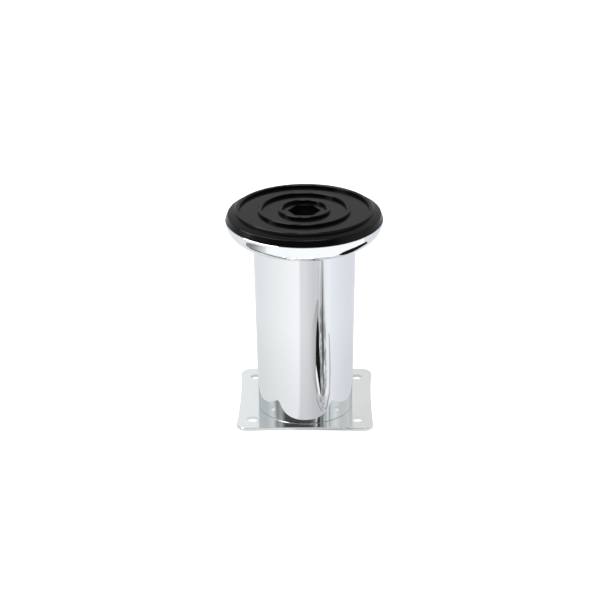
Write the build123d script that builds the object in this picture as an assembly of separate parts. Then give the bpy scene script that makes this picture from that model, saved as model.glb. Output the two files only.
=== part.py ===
"""Furniture leg: a square mounting plate, a slightly tapered tube and a round screw-adjusted foot.

The leg stands on its mounting plate with the foot on top. Z = 0 is the plate's underside and the
Z axis is the axis of the tube. The plate reaches further back (+Y) than forward from that axis. All sizes are in millimetres.
"""
from build123d import *
from math import cos, pi, sqrt, tan
import os

# Mounting plate, pressed from sheet steel
plate_side = 66.5
plate_t = 1.5
plate_corner_r = 5.0
plate_side_hollow = 1.0
plate_set_back = 5.2
plate_edge_bevel = 0.25
screw_spacing_x = 51.0
screw_spacing_y = 46.5
screw_hole_d = 5.5
collar_h = 6.0
collar_root_r = 0.6
collar_clearance = 0.05

# Leg tube, steel
tube_l = 87.0
tube_plate_d = 46.2
tube_foot_d = 49.1
tube_wall = 1.2
tube_edge_bevel = 0.3

# Foot cup, pressed from sheet steel
cup_d = 75.0
cup_h = 10.1
cup_bend_r = 10.5
cup_t = 1.0
cup_edge_bevel = 0.25
foot_gap = 0.4

# Floor pad, moulded plastic
pad_set_in = 0.1
pad_shoulder_in = 1.1
pad_shoulder_h = 2.9
pad_shoulder_r = 0.7
pad_floor_h = 3.9
pad_top_t = 2.6
pad_skirt_t = 1.8
pad_skirt_depth = 2.6
pad_clearance = 0.3
pad_boss_wall = 3.6
pad_seat_t = 2.2
pad_web_t = 1.6
pad_web_count = 6

# Three ring ribs that grip the floor
rib_t = 1.9
rib_outer_in = 3.5
rib_middle_d = 44.0
rib_ledge = 2.6
rib_h = 1.4
rib_edge_bevel = 0.3

# Adjusting bolt, nuts and washer, M8
thread_d = 8.0
thread_clearance = 0.05
bolt_l = 40.0
bolt_tip_bevel = 1.0
hex_flats = 13.0
hex_face_share = 0.96
bolt_head_h = 5.3
nut_h = 6.5
nut_mouth = 0.5
washer_d = 16.0
washer_t = 1.6
bolt_hole_clearance = 0.2
pocket_clearance = 0.35

# Plug in the foot end of the tube, moulded plastic
plug_l = 20.0
plug_set_back = 0.3
plug_clearance = 0.05
plug_face_t = 3.0
plug_boss_wall = 2.4
plug_fin_t = 2.0
plug_fin_count = 6
plug_nut_clearance = 0.1
plug_nut_floor = 3.6
plug_hole_clearance = 0.4
recess_clearance = 0.7
recess_floor_gap = 0.4

# How far a cut runs past the face it goes through
cut_over = 1.0

# Radii that follow from the sizes above
hex_corner_r = hex_flats / 2 / cos(pi / 6)
pocket_corner_r = hex_corner_r + pocket_clearance / cos(pi / 6)
pad_r = cup_d / 2 - pad_set_in
pad_shoulder_x = pad_r - pad_shoulder_in
rib_inner_r = pocket_corner_r + rib_ledge + rib_t
rib_outer_radii = [pad_shoulder_x - rib_outer_in, rib_middle_d / 2, rib_inner_r]
recess_r = max(washer_d / 2, hex_corner_r) + recess_clearance

# Heights of the seats, each from the piece below it
tube_z0 = plate_t
tube_z1 = tube_z0 + tube_l
cup_z0 = tube_z1 + foot_gap
cup_floor_z = cup_z0 + cup_t
cup_rim_z = cup_z0 + cup_h
pad_floor_z = cup_rim_z + pad_floor_h
head_seat_z = cup_floor_z + pad_seat_t
washer_z0 = cup_z0 - washer_t
lock_nut_z0 = washer_z0 - nut_h
plug_z1 = tube_z1 - plug_set_back
insert_nut_z0 = lock_nut_z0 - recess_floor_gap - nut_h


def tube_radius(z):
    """Outer radius of the tapered tube at height z."""
    share = (z - tube_z0) / tube_l
    return (tube_plate_d + (tube_foot_d - tube_plate_d) * share) / 2


def turned(section):
    """Solid of revolution about Z from a section drawn as (radius, height)."""
    return revolve(Plane.XZ * section, Axis.Z)


def spin(*points):
    """Solid of revolution about Z from straight-sided outline points (radius, height)."""
    return turned(make_face(Polyline(*points, close=True)))


def rod(radius, z0, z1):
    """Upright cylinder on the Z axis from z0 to z1."""
    return Pos(0, 0, z0) * Cylinder(radius, z1 - z0, align=(Align.CENTER, Align.CENTER, Align.MIN))


def block(radius, z0, z1):
    """Rectangle from the axis out to the radius, as half of a section."""
    return Pos(radius / 2, (z0 + z1) / 2) * Rectangle(radius, z1 - z0)


def cup_section(inset, z1):
    """Half section of the cup's outer form, set in all round, rounded below and cut level at z1."""
    z0 = cup_z0 + inset
    radius = cup_d / 2 - inset
    form = block(radius, z0, z1 + cup_bend_r)
    bend = form.vertices().sort_by_distance((radius, z0, 0))[0]
    return fillet(bend, cup_bend_r - inset) & block(radius, z0, z1)


def cup_radius(inset, z):
    """Radius of that form at height z."""
    bend_r = cup_bend_r - inset
    below_wall = max(cup_z0 + inset + bend_r - z, 0)
    return cup_d / 2 - cup_bend_r + sqrt(bend_r**2 - below_wall**2)


def hexagon(flats, z0, z1):
    """Upright hexagonal prism with two of its flats facing front and back."""
    outline = RegularPolygon(flats / 2, 6, major_radius=False)
    return Pos(0, 0, z0) * extrude(outline, z1 - z0)


def radial_webs(count, thickness, radius, z0, z1):
    """Thin upright walls that cross on the Z axis."""
    wall = Pos(0, 0, (z0 + z1) / 2) * Box(2 * radius, thickness, z1 - z0)
    return [Rot(0, 0, i * 360 / count) * wall for i in range(count // 2)]


def turned_hex(z0, z1, low_bevel=True):
    """Hexagonal blank with its corners turned off at 30 degrees, as on nuts and bolt heads."""
    face_r = hex_flats / 2 * hex_face_share
    drop = (hex_corner_r - face_r) * tan(pi / 6)
    low = [(face_r, z0), (hex_corner_r, z0 + drop)] if low_bevel else [(hex_corner_r, z0)]
    high = [(hex_corner_r, z1 - drop), (face_r, z1)]
    return hexagon(hex_flats, z0, z1) & spin((0, z0), *low, *high, (0, z1))


def hex_nut(z0):
    """Hexagon nut with a plain bore and bevelled mouths."""
    z1 = z0 + nut_h
    bore_r = thread_d / 2 + thread_clearance
    mouth_r = bore_r + nut_mouth
    low_mouth = [(mouth_r, z0), (bore_r, z0 + nut_mouth)]
    high_mouth = [(bore_r, z1 - nut_mouth), (mouth_r, z1)]
    return turned_hex(z0, z1) - spin((0, z0), *low_mouth, *high_mouth, (0, z1))


def make_mounting_plate():
    """Plate with hollow sides and four screw holes, set back from the collar that holds the tube."""
    half = plate_side / 2
    mid = half - plate_side_hollow
    corners = [(-half, -half), (half, -half), (half, half), (-half, half)]
    middles = [(0, -mid), (mid, 0), (0, mid), (-mid, 0)]
    sides = [ThreePointArc(corners[i], middles[i], corners[(i + 1) % 4]) for i in range(4)]
    outline = make_face(Curve() + sides)
    outline = fillet(outline.vertices(), plate_corner_r)
    sheet = extrude(outline, plate_t)
    sheet = chamfer(sheet.faces().sort_by(Axis.Z)[-1].outer_wire().edges(), plate_edge_bevel)
    screw_hole = rod(screw_hole_d / 2, -cut_over, plate_t + cut_over)
    sheet = sheet - GridLocations(screw_spacing_x, screw_spacing_y, 2, 2) * screw_hole
    sheet = Pos(0, plate_set_back, 0) * sheet

    outer_r = tube_radius(tube_z0) - tube_wall - collar_clearance
    inner_r = outer_r - plate_t
    bend_r = outer_r + collar_root_r
    bend_z = plate_t + collar_root_r
    top_z = plate_t + collar_h
    section = [
        Line((bend_r, 0), (bend_r, plate_t)),
        RadiusArc((bend_r, plate_t), (outer_r, bend_z), collar_root_r),
        Polyline((outer_r, bend_z), (outer_r, top_z), (inner_r, top_z), (inner_r, bend_z)),
        RadiusArc((inner_r, bend_z), (bend_r, 0), -(collar_root_r + plate_t)),
    ]
    collar = turned(make_face(Curve() + section))
    collar_room = rod(bend_r, -cut_over, plate_t + cut_over)
    return sheet - collar_room + collar


def make_leg_tube():
    """Tapered tube, bevelled inside where it clears the root of the plate's collar."""
    low_r = tube_radius(tube_z0)
    high_r = tube_radius(tube_z1)
    bevel = collar_root_r + collar_clearance
    return spin(
        (low_r - tube_wall + bevel, tube_z0),
        (low_r - tube_edge_bevel, tube_z0),
        (low_r, tube_z0 + tube_edge_bevel),
        (high_r, tube_z1 - tube_edge_bevel),
        (high_r - tube_edge_bevel, tube_z1),
        (high_r - tube_wall, tube_z1),
        (low_r - tube_wall, tube_z0 + bevel),
    )


def make_tube_plug():
    """Moulded plug: a face, a boss around both nuts and the washer, and fins that grip the tube."""
    plug_z0 = plug_z1 - plug_l
    outer_low_r = tube_radius(plug_z0) - tube_wall - plug_clearance
    outer_high_r = tube_radius(plug_z1) - tube_wall - plug_clearance
    envelope = spin((0, plug_z0), (outer_low_r, plug_z0), (outer_high_r, plug_z1), (0, plug_z1))
    boss_z0 = insert_nut_z0 - plug_nut_floor
    face = envelope & rod(outer_high_r, plug_z1 - plug_face_t, plug_z1)
    plug = face + rod(recess_r + plug_boss_wall, boss_z0, plug_z1)
    for fin in radial_webs(plug_fin_count, plug_fin_t, outer_high_r, plug_z0, plug_z1):
        plug = plug + (fin & envelope)
    recess = rod(recess_r, lock_nut_z0 - recess_floor_gap, plug_z1)
    nut_seat = hexagon(hex_flats + 2 * plug_nut_clearance, insert_nut_z0, plug_z1)
    bolt_hole = rod(thread_d / 2 + plug_hole_clearance, plug_z0, plug_z1)
    return plug - recess - nut_seat - bolt_hole


def make_foot_cup():
    """Pressed cup with a large corner radius and a bolt hole in its flat base."""
    wall = cup_section(0, cup_rim_z) - cup_section(cup_t, cup_rim_z)
    wall = chamfer(wall.vertices().group_by(Axis.Y)[-1], cup_edge_bevel)
    hole_r = thread_d / 2 + bolt_hole_clearance
    bolt_hole = rod(hole_r, cup_z0 - cut_over, cup_floor_z + cut_over)
    return turned(wall) - bolt_hole


def make_floor_pad():
    """Moulded pad: ring ribs and a hexagon pocket above, a skirt, a boss and webs inside the cup."""
    skirt_z0 = cup_rim_z - pad_skirt_depth
    skirt_r = cup_radius(cup_t + pad_clearance, skirt_z0)
    under_z = pad_floor_z - pad_top_t
    shoulder = (pad_shoulder_x, cup_rim_z + pad_shoulder_h)
    boss_r = pocket_corner_r + pad_boss_wall
    outline = [
        (0, pad_floor_z),
        (rib_outer_radii[0], pad_floor_z),
        shoulder,
        (pad_r, cup_rim_z),
        (skirt_r, cup_rim_z),
        (skirt_r, skirt_z0),
        (skirt_r - pad_skirt_t, skirt_z0),
        (skirt_r - pad_skirt_t, under_z),
        (boss_r, under_z),
        (boss_r, cup_floor_z),
        (0, cup_floor_z),
    ]
    section = make_face(Polyline(*outline, close=True))
    for outer_r in rib_outer_radii:
        rib = Pos(outer_r - rib_t / 2, pad_floor_z + rib_h / 2) * Rectangle(rib_t, rib_h)
        section = section + chamfer(rib.vertices().group_by(Axis.Y)[-1], rib_edge_bevel)
    at_shoulder = section.vertices().sort_by_distance((*shoulder, 0))[0]
    section = fillet(at_shoulder, pad_shoulder_r)
    pad = turned(section)

    web_room = turned(cup_section(cup_t + pad_clearance, under_z))
    webs = radial_webs(pad_web_count, pad_web_t, skirt_r - pad_skirt_t / 2, cup_floor_z, under_z)
    for web in webs:
        pad = pad + (web & web_room)
    pocket = hexagon(hex_flats + 2 * pocket_clearance, head_seat_z, pad_floor_z + rib_h)
    hole_r = thread_d / 2 + bolt_hole_clearance
    bolt_hole = rod(hole_r, cup_floor_z - cut_over, head_seat_z + cut_over)
    return pad - pocket - bolt_hole


def make_adjuster_bolt():
    """Hexagon bolt, head up in the pad's pocket and shank down into the tube."""
    tip_z = head_seat_z - bolt_l
    shank_r = thread_d / 2
    shank = spin(
        (0, tip_z),
        (shank_r - bolt_tip_bevel, tip_z),
        (shank_r, tip_z + bolt_tip_bevel),
        (shank_r, head_seat_z),
        (0, head_seat_z),
    )
    return shank + turned_hex(head_seat_z, head_seat_z + bolt_head_h, low_bevel=False)


def make_washer():
    """Plain washer between the cup's base and the lock nut."""
    hole_r = thread_d / 2 + bolt_hole_clearance
    return rod(washer_d / 2, washer_z0, cup_z0) - rod(hole_r, washer_z0, cup_z0)


pieces = {
    "mounting_plate": make_mounting_plate(),
    "leg_tube": make_leg_tube(),
    "tube_plug": make_tube_plug(),
    "insert_nut": hex_nut(insert_nut_z0),
    "foot_cup": make_foot_cup(),
    "floor_pad": make_floor_pad(),
    "adjuster_bolt": make_adjuster_bolt(),
    "washer": make_washer(),
    "lock_nut": hex_nut(lock_nut_z0),
}

os.makedirs("parts", exist_ok=True)
for name, piece in pieces.items():
    piece.label = name
    export_step(piece, f"parts/{name}.step")
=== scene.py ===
"""Looks of the furniture leg: materials, the bolt's thread, the studio and the camera."""

import math

import bmesh
import bpy
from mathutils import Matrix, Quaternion, Vector


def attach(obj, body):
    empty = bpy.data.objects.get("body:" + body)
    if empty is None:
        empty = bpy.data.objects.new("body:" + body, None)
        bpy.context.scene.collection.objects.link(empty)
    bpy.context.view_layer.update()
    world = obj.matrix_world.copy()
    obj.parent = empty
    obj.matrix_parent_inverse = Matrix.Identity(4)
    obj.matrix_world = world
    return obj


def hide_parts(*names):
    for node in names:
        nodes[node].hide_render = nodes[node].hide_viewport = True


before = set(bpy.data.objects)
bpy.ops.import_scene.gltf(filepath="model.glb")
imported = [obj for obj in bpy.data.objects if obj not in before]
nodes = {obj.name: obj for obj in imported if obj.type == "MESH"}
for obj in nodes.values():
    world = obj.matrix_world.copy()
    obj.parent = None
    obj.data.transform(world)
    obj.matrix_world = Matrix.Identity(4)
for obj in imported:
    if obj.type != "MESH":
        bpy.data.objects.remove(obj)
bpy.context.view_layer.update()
MM = 0.001

# Node helpers


class Tree:
    """A node tree with short calls for adding and joining nodes."""

    def __init__(self, owner):
        owner.use_nodes = True
        self.tree = owner.node_tree
        self.tree.nodes.clear()

    def add(self, kind, settings=(), **inputs):
        """New node; settings are its own properties, inputs its sockets, as values or as outputs."""
        node = self.tree.nodes.new(kind)
        for name, value in dict(settings).items():
            setattr(node, name, value)
        for name, value in inputs.items():
            self.put(node, name, value)
        return node

    def put(self, node, name, value):
        """Sets a socket to a value or joins it to an output.

        Its name has _ for each space, and in0, in1 and so on are sockets by number.
        """
        if name.startswith("in") and name[2:].isdigit():
            socket = node.inputs[int(name[2:])]
        else:
            socket = node.inputs[name.replace("_", " ")]
        if isinstance(value, bpy.types.NodeSocket):
            self.tree.links.new(value, socket)
        else:
            socket.default_value = value

    def math(self, operation, a, b):
        return self.add("ShaderNodeMath", {"operation": operation}, in0=a, in1=b).outputs[0]

    def map_range(self, value, low, high, out_low, out_high, kind="SMOOTHSTEP"):
        node = self.add(
            "ShaderNodeMapRange",
            {"interpolation_type": kind},
            Value=value, From_Min=low, From_Max=high, To_Min=out_low, To_Max=out_high,
        )
        return node.outputs["Result"]

    def ramp(self, value, stops):
        """Colour ramp over stops of (position, colour)."""
        node = self.add("ShaderNodeValToRGB", Fac=value)
        elements = node.color_ramp.elements
        while len(elements) > 1:
            elements.remove(elements[-1])
        for i, (at, colour) in enumerate(stops):
            element = elements[0] if i == 0 else elements.new(at)
            element.position = at
            element.color = rgba(colour)
        return node.outputs["Color"]

    def mix(self, factor, a, b):
        """Mix of two colours."""
        return self.add("ShaderNodeMix", {"data_type": "RGBA"}, in0=factor, in6=a, in7=b).outputs[2]

    def mix_shaders(self, factor, a, b):
        return self.add("ShaderNodeMixShader", Fac=factor, in1=a, in2=b).outputs[0]

    def noise(self, vector, scale, detail=2.0, roughness=0.5):
        node = self.add(
            "ShaderNodeTexNoise", Vector=vector, Scale=scale, Detail=detail, Roughness=roughness
        )
        return node.outputs["Fac"]

    def stretched(self, vector, scale):
        return self.add("ShaderNodeMapping", Vector=vector, Scale=scale).outputs["Vector"]

    def place(self):
        """The shaded point in the object's own coordinates."""
        return self.add("ShaderNodeTexCoord").outputs["Object"]

    def position(self):
        """X, Y and Z outputs of the shaded point in metres."""
        point = self.add("ShaderNodeNewGeometry").outputs["Position"]
        return self.add("ShaderNodeSeparateXYZ", Vector=point).outputs


def rgba(colour):
    return (*colour, 1.0)


def grey(value):
    return (value, value, value)


# Materials


def surface(name, colour, metallic, **sockets):
    """Material with a Principled shader. Returns (material, tree, shader, object coordinates)."""
    material = bpy.data.materials.new(name)
    tree = Tree(material)
    shader = tree.add("ShaderNodeBsdfPrincipled", Base_Color=rgba(colour), Metallic=metallic, **sockets)
    tree.add("ShaderNodeOutputMaterial", Surface=shader.outputs[0])
    return material, tree, shader, tree.place()


def bump(tree, shader, height, distance, strength):
    """Bumps of a height output; distance is in metres."""
    node = tree.add("ShaderNodeBump", Height=height, Distance=distance, Strength=strength)
    tree.put(shader, "Normal", node.outputs["Normal"])


def make_chrome():
    """Bright chrome plating with a trace of haze and of the tube mill's long ripples."""
    material, tree, shader, place = surface("chrome", (0.80, 0.81, 0.82), 1.0)
    haze = tree.noise(place, 60.0, 3.0)
    tree.put(shader, "Roughness", tree.map_range(haze, 0.35, 0.7, 0.025, 0.05))
    tone = tree.noise(tree.stretched(place, (1, 1, 0.25)), 35.0)
    colour = tree.mix(tone, rgba((0.79, 0.80, 0.815)), rgba((0.81, 0.82, 0.825)))
    tree.put(shader, "Base_Color", colour)
    ripple = tree.noise(tree.stretched(place, (1, 1, 0.06)), 120.0, 1.0)
    bump(tree, shader, ripple, 0.00002, 0.25)
    return material


def make_plate_steel():
    """Semi-bright plated sheet with fine rolling marks and a few faint smudges."""
    material, tree, shader, place = surface("plate_steel", (0.72, 0.74, 0.74), 1.0)
    smudge = tree.noise(place, 45.0, 3.0)
    tree.put(shader, "Roughness", tree.map_range(smudge, 0.4, 0.75, 0.13, 0.24))
    colour = tree.mix(smudge, rgba((0.70, 0.725, 0.725)), rgba((0.75, 0.76, 0.75)))
    tree.put(shader, "Base_Color", colour)
    rolled = tree.noise(tree.stretched(place, (1, 24, 24)), 130.0, 3.0)
    bump(tree, shader, rolled, 0.00001, 0.15)
    return material


def make_pad_plastic():
    """Satin black moulded plastic with a fine spark-eroded texture."""
    black = (0.004, 0.004, 0.005)
    material, tree, shader, place = surface("pad_plastic", black, 0.0, IOR=1.45, Specular_IOR_Level=0.14)
    cloud = tree.noise(place, 70.0, 3.0)
    tree.put(shader, "Roughness", tree.map_range(cloud, 0.35, 0.7, 0.15, 0.22))
    colour = tree.mix(cloud, rgba((0.0010, 0.0010, 0.0012)), rgba((0.0025, 0.0025, 0.003)))
    tree.put(shader, "Base_Color", colour)
    bump(tree, shader, tree.noise(place, 2600.0), 0.00002, 0.12)
    return material


def make_plug_plastic():
    """Matt black moulded plastic."""
    material, tree, shader, place = surface("plug_plastic", (0.02, 0.02, 0.022), 0.0, IOR=1.45)
    cloud = tree.noise(place, 90.0, 3.0)
    tree.put(shader, "Roughness", tree.map_range(cloud, 0.3, 0.7, 0.5, 0.62))
    colour = tree.mix(cloud, rgba((0.016, 0.016, 0.018)), rgba((0.028, 0.028, 0.03)))
    tree.put(shader, "Base_Color", colour)
    bump(tree, shader, tree.noise(place, 1800.0), 0.00005, 0.3)
    return material


def make_fastener_steel():
    """Zinc-plated steel, slightly mottled, with a fine grain."""
    material, tree, shader, place = surface("fastener_steel", (0.66, 0.68, 0.70), 1.0)
    mottle = tree.noise(place, 300.0, 4.0)
    tree.put(shader, "Roughness", tree.map_range(mottle, 0.3, 0.7, 0.2, 0.38))
    colour = tree.mix(mottle, rgba((0.60, 0.625, 0.65)), rgba((0.72, 0.735, 0.74)))
    tree.put(shader, "Base_Color", colour)
    bump(tree, shader, tree.noise(place, 1500.0, 3.0), 0.00002, 0.3)
    return material


chrome = make_chrome()
plate_steel = make_plate_steel()
pad_plastic = make_pad_plastic()
plug_plastic = make_plug_plastic()
fastener_steel = make_fastener_steel()

finishes = {
    "mounting_plate": plate_steel,
    "leg_tube": chrome,
    "tube_plug": plug_plastic,
    "insert_nut": fastener_steel,
    "foot_cup": chrome,
    "floor_pad": pad_plastic,
    "adjuster_bolt": fastener_steel,
    "washer": fastener_steel,
    "lock_nut": fastener_steel,
}
for name, material in finishes.items():
    node = nodes[name]
    if not node.material_slots:
        node.data.materials.append(None)
    for slot in node.material_slots:
        slot.link = "OBJECT"
        slot.material = material

# Bolt thread, in mm

THREAD_D = 8.0
THREAD_PITCH = 1.25
THREAD_DEPTH = 0.77
CREST_SHARE = 0.25
FLANK_SHARE = 0.63
TIP_BEVEL = 1.0
BOLT_L = 40.0
HEAD_MARGIN = 0.1
TURN_STEPS = 48
PITCH_STEPS = 12


def thread_radius(turn, z):
    """Shank radius at an angle given in turns and a height above the tip."""
    phase = (z / THREAD_PITCH - turn) % 1.0
    from_crest = abs(phase - 0.5) * 2 - CREST_SHARE
    cut = min(max(from_crest / FLANK_SHARE, 0.0), 1.0) * THREAD_DEPTH
    return min(THREAD_D / 2 - cut, THREAD_D / 2 - TIP_BEVEL + z)


def thread_ring(work, low, z):
    """One ring of the shank's vertices, z above its tip, which is at low in metres."""
    ring = []
    for j in range(TURN_STEPS):
        r = thread_radius(j / TURN_STEPS, z) * MM
        a = 2 * math.pi * j / TURN_STEPS
        ring.append(work.verts.new((r * math.cos(a), r * math.sin(a), low + z * MM)))
    return ring


def make_threaded_bolt():
    """The bolt with its head as built and a right-hand M8 thread on the shank."""
    source = nodes["adjuster_bolt"]
    mesh = source.data.copy()
    mesh.transform(source.matrix_world)
    work = bmesh.new()
    work.from_mesh(mesh)
    low = min(v.co.z for v in work.verts)
    seat = low + (BOLT_L - HEAD_MARGIN) * MM
    shank = [v for v in work.verts if v.co.z < seat]
    bmesh.ops.delete(work, geom=shank, context="VERTS")
    count = int(BOLT_L / THREAD_PITCH * PITCH_STEPS)
    rings = [thread_ring(work, low, BOLT_L * i / count) for i in range(count + 1)]
    for below, above in zip(rings, rings[1:]):
        for j in range(TURN_STEPS):
            k = (j + 1) % TURN_STEPS
            work.faces.new((below[j], below[k], above[k], above[j]))
    work.faces.new(list(reversed(rings[0])))
    work.to_mesh(mesh)
    work.free()
    bolt = bpy.data.objects.new("threaded_bolt", mesh)
    bpy.context.scene.collection.objects.link(bolt)
    mesh.materials.clear()
    mesh.materials.append(fastener_steel)
    for polygon in mesh.polygons:
        polygon.material_index = 0
    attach(bolt, "foot")
    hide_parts("adjuster_bolt")


make_threaded_bolt()

# Brightness round the leg as polished metal sees it, by angle in degrees from the camera side

CAMERA_SIDE_DARK = (0.075, 0.075, 0.08)
SIDE_TONE = (0.80, 0.83, 0.85)

FLOOR_RING = [
    (-180, (0.86, 0.89, 0.91)),
    (-133, (0.87, 0.905, 0.915)),
    (-82, (0.96, 1.00, 1.00)),
    (-45, (1.05, 1.075, 1.065)),
    (-15, (1.13, 1.14, 1.16)),
    (-11, (1.10, 1.11, 1.12)),
    (-8, (0.875, 0.88, 0.90)),
    (2, (0.86, 0.86, 0.88)),
    (18, (0.73, 0.735, 0.76)),
    (30, (0.72, 0.73, 0.76)),
    (44, (0.98, 1.01, 1.06)),
    (52, (1.04, 1.07, 1.12)),
    (60, (0.98, 1.01, 1.06)),
    (75, (0.92, 0.96, 1.00)),
    (95, (0.87, 0.91, 0.955)),
    (130, (0.82, 0.84, 0.91)),
    (180, (0.86, 0.89, 0.91)),
]
SKY_RING = [
    (-180, grey(0.62)),
    (-155, grey(0.64)),
    (-140, (0.72, 0.76, 0.79)),
    (-108, (0.72, 0.76, 0.78)),
    (-88, (0.95, 0.98, 1.00)),
    (-81, SIDE_TONE),
    (-74, (0.30, 0.31, 0.32)),
    (-61, (0.55, 0.57, 0.58)),
    (-50, CAMERA_SIDE_DARK),
    (43, CAMERA_SIDE_DARK),
    (61, SIDE_TONE),
    (79, (1.08, 1.12, 1.15)),
    (97, (0.82, 0.84, 0.85)),
    (133, (0.90, 0.93, 0.95)),
    (155, grey(0.64)),
    (180, grey(0.62)),
]

# Painted reflections of the light tent's fold in front of the leg, and a painted shade beside it: upright
# cards as rows of height in mm and two angles

SHADE = [(54, 22, 24), (46, 17, 25), (38, 11, 26), (28, 7, 26), (18, 10, 26), (10, 15, 26), (3, 21, 26)]
SHADE_FADE = (8, 26, 30, 31)
FOLD_TOP = [(76, 30, 33), (60, 27.5, 35), (50, 27, 36), (42, 26, 38)]
FOLD = [
    (51, 28.5, 35), (44, 26, 37.5), (32, 26, 39), (21, 27, 40),
    (12, 28, 41.5), (6, 29.5, 42.5), (0.5, 30.5, 40.5),
]
OPENING = [
    (45, 23, 23.5), (40, 21.5, 25.5), (35, 20.5, 26), (28, 20, 26.5), (23, 20, 27.5),
    (17, 20.5, 28.5), (13, 23, 28.5), (8, 25.5, 29.5), (2, 28.5, 30),
]
CREASE = [
    (76, 30, 32), (54, 30.5, 32.5), (44, 30.5, 33), (35, 30.5, 34.5),
    (27, 31, 35), (18, 32, 35), (7, 34, 35.5),
]
BRIGHT_EDGE = [(19, 20, 20.5), (14, 20, 23), (10, 21.5, 25), (6, 23.5, 27), (2, 26.5, 29)]
LEFT_HEM = [(26, 18.5, 19.5), (19, 18.5, 20), (12, 18.5, 20), (6, 20, 21.5), (2, 21, 22.5)]
BRIGHT_SIDE = [
    (41, 39.5, 40.5), (33, 39, 44), (23, 40.5, 45.5), (13, 42, 46.5), (6, 41, 46.5), (0.5, 37.5, 45.5),
]
RIGHT_HEM = [(35, 44.5, 46), (26, 46, 48), (14, 47, 49.5), (5, 47, 49), (0.5, 45.5, 48.5)]
HAIR = [(72, 23.5, 24.5), (54, 24, 25.5), (43, 24.5, 26)]

# Distances of those cards from the leg's axis in mm; a card hides what stands further out
SHADE_R, FOLD_TOP_R, FOLD_R, OPENING_R, EDGE_R = 51.0, 50.8, 50.5, 50.0, 49.5
PLAIN_CARDS = [
    ("opening", OPENING, grey(0.01), OPENING_R),
    ("bright_edge", BRIGHT_EDGE, grey(1.12), EDGE_R),
    ("left_hem", LEFT_HEM, grey(0.42), EDGE_R),
    ("bright_side", BRIGHT_SIDE, (0.98, 1.01, 1.04), OPENING_R),
    ("right_hem", RIGHT_HEM, grey(0.5), EDGE_R),
    ("hair", HAIR, grey(0.62), EDGE_R),
]

# The crease fades between two heights in mm, from its brightness below to that above
CREASE_FADE = (50, 76, 0.12, 0.5)

# Painted reflection of what the fold lays on the floor: rows of reach in mm and two angles
LEFT_TRAIL = [(51.5, 21, 22.5), (46, 22, 24), (41, 24, 26), (36, 27, 30)]
RIGHT_TRAIL = [(50, 45.5, 48.5), (45, 42, 44.5), (40, 38, 41), (36, 33, 37)]
FOLD_TRAIL = [(50.5, 26.5, 37.5), (46, 27, 37), (42, 28, 36), (38, 29.5, 34)]
FOLD_TRAIL_H = 0.3
HEM_TRAIL_H = 0.4

# Tones of the crumpled cloth, by position in the noise
FOLD_TONES = [
    (0.30, (0.15, 0.155, 0.16)), (0.44, (0.38, 0.39, 0.40)),
    (0.54, (0.56, 0.57, 0.58)), (0.66, (0.90, 0.92, 0.94)),
]
TRAIL_TONES = [(0.36, grey(0.28)), (0.46, grey(0.50)), (0.56, grey(0.60)), (0.66, grey(0.86))]
CRUMPLE_STRETCH = (1, 1, 0.45)
CRUMPLE_SCALE = 330.0

# Painted reflections on the cup, as cards on the cone below the foot: rows of angle and reach in mm, at one
# side and the other
AWNING_R = 38.5
AWNING_H = 82.5
AWNING_SLOPE = 0.2
CUP_FRONT = [
    (-41, 61, -38, 38.5), (-30, 68, -27, 36), (-19, 72, -17, 35), (0, 72, 0, 34.5), (18, 72, 16, 33.5),
    (33, 72, 29, 33), (43, 70, 38.5, 37), (57, 70, 51, 38), (76, 69, 69, 39.5),
]
CUP_GREY = [
    (-68, 54, -65, 41), (-62, 58, -59, 38.5), (-55, 60, -51, 38), (-41, 61, -38, 38), (-34, 61, -31, 37),
]
CUP_GREY_FADE = (-72, -64, -60, -33)
CUP_LINE = [
    (-59, 40, -59, 37.5), (-50, 38.5, -50, 36), (-41, 37, -41, 35.5),
    (-32, 35.5, -32, 33.5), (-23, 33.5, -23, 32), (-13, 32, -13, 30),
]
# Painted dark reflection on the right of the cup
CUP_PAINTED_DARK = [
    (35, 35.5, 35.5, 33.5), (39.5, 38.5, 41, 31.5), (44.5, 40.5, 46, 31.5), (50, 42, 51, 32.5),
    (55, 43, 56, 34), (61, 44.5, 61, 36), (68, 46, 68, 38), (75, 46.5, 75, 39.5),
]

# Bright card, high on the left, that the pad's rim mirrors
PAD_GLINT = [(200, -88, -70), (150, -89, -69), (114, -89, -69)]
PAD_GLINT_R = 100.0

# Low white sheet behind the leg, in mm, and the middle part over which its tone changes
BACKDROP_X = (-62, -30, 0, 30, 62)
BACKDROP_Y = 120
BACKDROP_Z = (30, 100)
BACKDROP_LEFT = (1.05, 1.08, 1.10)
BACKDROP_RIGHT = (0.90, 0.91, 0.89)
BACKDROP_CHANGE = 40

# Floor: half its side in m, depth below the leg in mm, paint, glow for the camera, and the shade
# near the leg as two reaches in m and its level at the first
FLOOR_SIDE = 3.0
FLOOR_DEPTH = 0.05
FLOOR_PAINT = 0.8
FLOOR_GLOW = 0.45
FLOOR_SHADE = (0.035, 0.125, 0.86)

# Sky: brightness overhead, the heights on a unit sphere between which it takes over, and the even light
SKY_TOP = 0.55
SKY_TOP_RANGE = (0.55, 0.8)
EVEN_LIGHT = 0.85

# Lamps: angle from the camera side and height angle in degrees, distance and side in m, power in W
LAMPS = {
    "key_light": (-82, 60, 0.9, 0.5, 5.0),
    "top_light": (12, 78, 1.0, 0.4, 3.2),
}
LAMP_AIM_H = 60


def turn_share(tree, x, y):
    """Angle of (x, y) as 0 to 1, with 0.5 on the camera side and more to the right."""
    turn = tree.math("ARCTAN2", x, tree.math("MULTIPLY", y, -1.0))
    return tree.math("ADD", tree.math("DIVIDE", turn, 2 * math.pi), 0.5)


def share_of(angle):
    """The same measure for an angle in degrees from the camera side."""
    return (angle + 180) / 360


def ring_colour(tree, share, stops):
    return tree.ramp(share, [(share_of(angle), colour) for angle, colour in stops])


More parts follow.
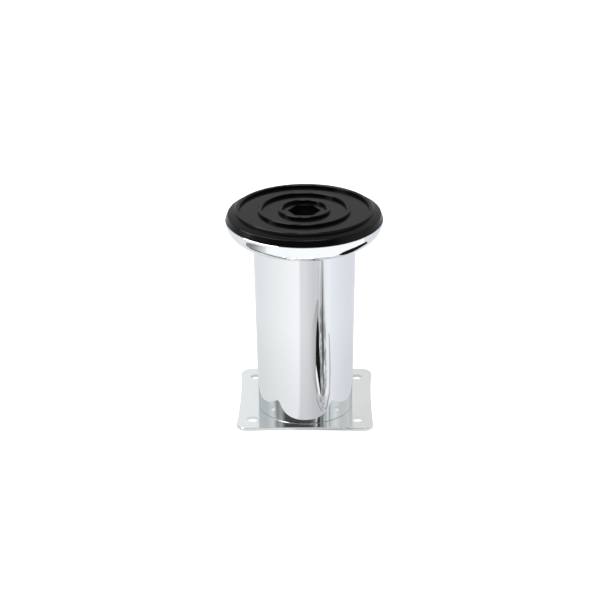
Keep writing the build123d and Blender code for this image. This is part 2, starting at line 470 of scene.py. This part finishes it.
def around(angle, reach, height):
    """Point in metres at an angle from the camera side, and a distance from the Z axis and a height in mm."""
    a = math.radians(angle)
    return (reach * MM * math.sin(a), -reach * MM * math.cos(a), height * MM)


def across(start, end):
    """Start, middle and end of a card's row."""
    return (start, (start + end) / 2, end)


def make_floor():
    """White floor that keeps a soft shadow; polished metal sees it as the floor of a light tent."""
    mesh = bpy.data.meshes.new("floor")
    corners = [(-1, -1), (1, -1), (1, 1), (-1, 1)]
    points = [(x * FLOOR_SIDE, y * FLOOR_SIDE, -FLOOR_DEPTH * MM) for x, y in corners]
    mesh.from_pydata(points, [], [(0, 1, 2, 3)])
    floor = bpy.data.objects.new("floor", mesh)
    bpy.context.scene.collection.objects.link(floor)

    material = bpy.data.materials.new("floor")
    tree = Tree(material)
    parts = tree.position()
    share = turn_share(tree, parts["X"], parts["Y"])
    flat = tree.add("ShaderNodeCombineXYZ", X=parts["X"], Y=parts["Y"])
    reach = tree.add("ShaderNodeVectorMath", {"operation": "LENGTH"}, in0=flat.outputs[0]).outputs["Value"]
    near, far, level = FLOOR_SHADE
    shade = tree.map_range(reach, near, far, level, 1.0, "LINEAR")
    mirrored = tree.add("ShaderNodeEmission", Color=ring_colour(tree, share, FLOOR_RING), Strength=shade)
    paths = tree.add("ShaderNodeLightPath").outputs
    glow = tree.math("MULTIPLY", paths["Is Camera Ray"], FLOOR_GLOW)
    white = tree.add("ShaderNodeEmission", Color=rgba(grey(1.0)), Strength=glow)
    paint = tree.add("ShaderNodeBsdfDiffuse", Color=rgba(grey(FLOOR_PAINT)))
    seen = tree.add("ShaderNodeAddShader", in0=paint.outputs[0], in1=white.outputs[0])
    both = tree.mix_shaders(paths["Is Glossy Ray"], seen.outputs[0], mirrored.outputs[0])
    tree.add("ShaderNodeOutputMaterial", Surface=clear_from_behind(tree, both))
    mesh.materials.append(material)


def clear_from_behind(tree, shader):
    """The shader on a face's front and nothing on its back."""
    back = tree.add("ShaderNodeNewGeometry").outputs["Backfacing"]
    clear = tree.add("ShaderNodeBsdfTransparent")
    return tree.mix_shaders(back, shader, clear.outputs[0])


def faded(tree, shader, fade):
    """The shader between four angles: clear, full, full and clear again."""
    clear, full, still_full, clear_again = (share_of(angle) for angle in fade)
    parts = tree.position()
    share = turn_share(tree, parts["X"], parts["Y"])
    rise = tree.map_range(share, clear, full, 0.0, 1.0)
    fall = tree.map_range(share, still_full, clear_again, 1.0, 0.0)
    thin = tree.add("ShaderNodeBsdfTransparent")
    return tree.mix_shaders(tree.math("MULTIPLY", rise, fall), thin.outputs[0], shader)


def mirrored_only(name, rows, colour, fade=None, one_sided=False):
    """Glowing sheet over rows of points that only mirror reflections show.

    A one-sided sheet is clear from below. Returns (tree, its emission node).
    """
    width = len(rows[0])
    faces = []
    for i in range(len(rows) - 1):
        for j in range(i * width, (i + 1) * width - 1):
            faces.append((j, j + 1, j + width + 1, j + width))
    mesh = bpy.data.meshes.new(name)
    mesh.from_pydata([point for row in rows for point in row], [], faces)
    if mesh.polygons[0].normal.z < 0:
        mesh.flip_normals()
    card = bpy.data.objects.new(name, mesh)
    bpy.context.scene.collection.objects.link(card)
    material = bpy.data.materials.new(name)
    tree = Tree(material)
    glow = tree.add("ShaderNodeEmission", Color=rgba(colour))
    shader = glow.outputs[0]
    if fade:
        shader = faded(tree, shader, fade)
    if one_sided:
        shader = clear_from_behind(tree, shader)
    tree.add("ShaderNodeOutputMaterial", Surface=shader)
    mesh.materials.append(material)
    card.visible_camera = card.visible_diffuse = card.visible_shadow = card.visible_transmission = False
    return tree, glow


def upright_card(name, rows, colour, radius, fade=None):
    """Upright card round the leg from rows of (height, angle from, angle to)."""
    points = [[around(turn, radius, height) for turn in across(start, end)] for height, start, end in rows]
    return mirrored_only(name, points, colour, fade)


def floor_card(name, rows, colour, height):
    """Level card over the floor from rows of (reach, angle from, angle to)."""
    points = [[around(turn, reach, height) for turn in across(start, end)] for reach, start, end in rows]
    return mirrored_only(name, points, colour)


def awning_card(name, rows, colour, lift=0.0, fade=None):
    """Card on a cone below the foot, so that only the cup mirrors it."""
    points = []
    for angle0, reach0, angle1, reach1 in rows:
        row = []
        for angle, reach in zip(across(angle0, angle1), across(reach0, reach1)):
            row.append(around(angle, reach, AWNING_H - AWNING_SLOPE * (reach - AWNING_R) + lift))
        points.append(row)
    return mirrored_only(name, points, colour, fade, one_sided=True)


def crumple(tree, glow, tones):
    """Threads of light and dark on a card."""
    noise = tree.noise(tree.stretched(tree.place(), CRUMPLE_STRETCH), CRUMPLE_SCALE, 3.0, 0.6)
    tree.put(glow, "Color", tree.ramp(noise, tones))


def make_fold():
    """Painted reflection of the light tent's dark opening and fold, front right, with a bright inside edge
    and a painted shade beside it.
    """
    upright_card("shade", SHADE, grey(0.44), SHADE_R, SHADE_FADE)
    upright_card("fold_top", FOLD_TOP, grey(0.60), FOLD_TOP_R)
    crumple(*upright_card("fold", FOLD, grey(0.45), FOLD_R), FOLD_TONES)
    tree, glow = upright_card("crease", CREASE, grey(1.0), EDGE_R)
    low, high, below, above = CREASE_FADE
    tree.put(glow, "Strength", tree.map_range(tree.position()["Z"], low * MM, high * MM, below, above))
    for card in PLAIN_CARDS:
        upright_card(*card)
    crumple(*floor_card("fold_trail", FOLD_TRAIL, grey(0.6), FOLD_TRAIL_H), TRAIL_TONES)
    floor_card("left_trail", LEFT_TRAIL, grey(0.4), HEM_TRAIL_H)
    floor_card("right_trail", RIGHT_TRAIL, grey(0.4), HEM_TRAIL_H)


def make_awning():
    """Painted reflections that the cup mirrors: a bright front, a soft grey side, a thin dark line and a dark
    patch at its right.
    """
    awning_card("cup_front", CUP_FRONT, (1.18, 1.19, 1.20))
    awning_card("cup_grey", CUP_GREY, (0.28, 0.29, 0.30), 0.2, CUP_GREY_FADE)
    awning_card("cup_line", CUP_LINE, grey(0.14), 0.4)
    awning_card("cup_corner", CUP_PAINTED_DARK, grey(0.01), 0.4)


def make_backdrop():
    """Low white sheet behind the leg, whose side away from the key light is a little darker."""
    points = [[(x * MM, BACKDROP_Y * MM, z * MM) for z in BACKDROP_Z] for x in BACKDROP_X]
    tree, glow = mirrored_only("backdrop", points, grey(1.0))
    change = BACKDROP_CHANGE * MM
    right = tree.map_range(tree.position()["X"], -change, change, 0.0, 1.0, "LINEAR")
    tree.put(glow, "Color", tree.mix(right, rgba(BACKDROP_LEFT), rgba(BACKDROP_RIGHT)))


def make_world():
    """White for the camera, even light for the part, and a dark camera side for what mirrors it."""
    world = bpy.data.worlds.new("studio")
    bpy.context.scene.world = world
    tree = Tree(world)
    direction = tree.add("ShaderNodeTexCoord").outputs["Generated"]
    parts = tree.add("ShaderNodeSeparateXYZ", Vector=direction).outputs
    side = ring_colour(tree, turn_share(tree, parts["X"], parts["Y"]), SKY_RING)
    top = tree.map_range(parts["Z"], *SKY_TOP_RANGE, 0.0, 1.0)
    sky = tree.mix(top, side, rgba(grey(SKY_TOP)))
    mirrored = tree.add("ShaderNodeBackground", Color=sky)
    even = tree.add("ShaderNodeBackground", Color=rgba(grey(EVEN_LIGHT)))
    white = tree.add("ShaderNodeBackground", Color=rgba(grey(1.0)))
    paths = tree.add("ShaderNodeLightPath").outputs
    lit = tree.mix_shaders(paths["Is Glossy Ray"], even.outputs[0], mirrored.outputs[0])
    both = tree.mix_shaders(paths["Is Camera Ray"], lit, white.outputs[0])
    tree.add("ShaderNodeOutputWorld", Surface=both)


def soft_box(name, angle, height, distance, side, power):
    """Square area light aimed at the leg."""
    a, e = math.radians(angle), math.radians(height)
    away = Vector((math.sin(a) * math.cos(e), -math.cos(a) * math.cos(e), math.sin(e)))
    light = bpy.data.lights.new(name, "AREA")
    light.size = side
    light.energy = power
    lamp = bpy.data.objects.new(name, light)
    lamp.location = Vector((0, 0, LAMP_AIM_H * MM)) + away * distance
    lamp.rotation_mode = "QUATERNION"
    lamp.rotation_quaternion = away.to_track_quat("Z", "Y")
    bpy.context.scene.collection.objects.link(lamp)


make_floor()
make_world()
for name, values in LAMPS.items():
    soft_box(name, *values)

make_fold()
make_awning()
make_backdrop()
upright_card("pad_glint", PAD_GLINT, grey(9.0), PAD_GLINT_R)

# Camera: angles in degrees, the height it aims at and its step to the left in mm, distance in m

PITCH, YAW, ROLL = 23.80, 1.09, -0.45
AIM_H = 56.64
STEP_LEFT = 2.325
CAMERA_DISTANCE = 0.9
LENS = 111.97
SENSOR = 36.0


def make_camera():
    """Camera at the photograph's viewing angle, for a square picture."""
    pitch, yaw, roll = (math.radians(v) for v in (PITCH, YAW, ROLL))
    away = Vector((math.sin(yaw) * math.cos(pitch), -math.cos(yaw) * math.cos(pitch), math.sin(pitch)))
    turn = (-away).to_track_quat("-Z", "Y") @ Quaternion((0, 0, 1), roll)
    camera = bpy.data.cameras.new("camera")
    camera.lens = LENS
    camera.sensor_width = SENSOR
    camera.clip_start = 0.05
    camera.clip_end = 20.0
    eye = bpy.data.objects.new("camera", camera)
    left = turn @ Vector((-STEP_LEFT * MM, 0, 0))
    eye.location = Vector((0, 0, AIM_H * MM)) + away * CAMERA_DISTANCE + left
    eye.rotation_mode = "QUATERNION"
    eye.rotation_quaternion = turn
    bpy.context.scene.collection.objects.link(eye)
    bpy.context.scene.camera = eye


make_camera()
bpy.context.scene.view_settings.view_transform = "Standard"
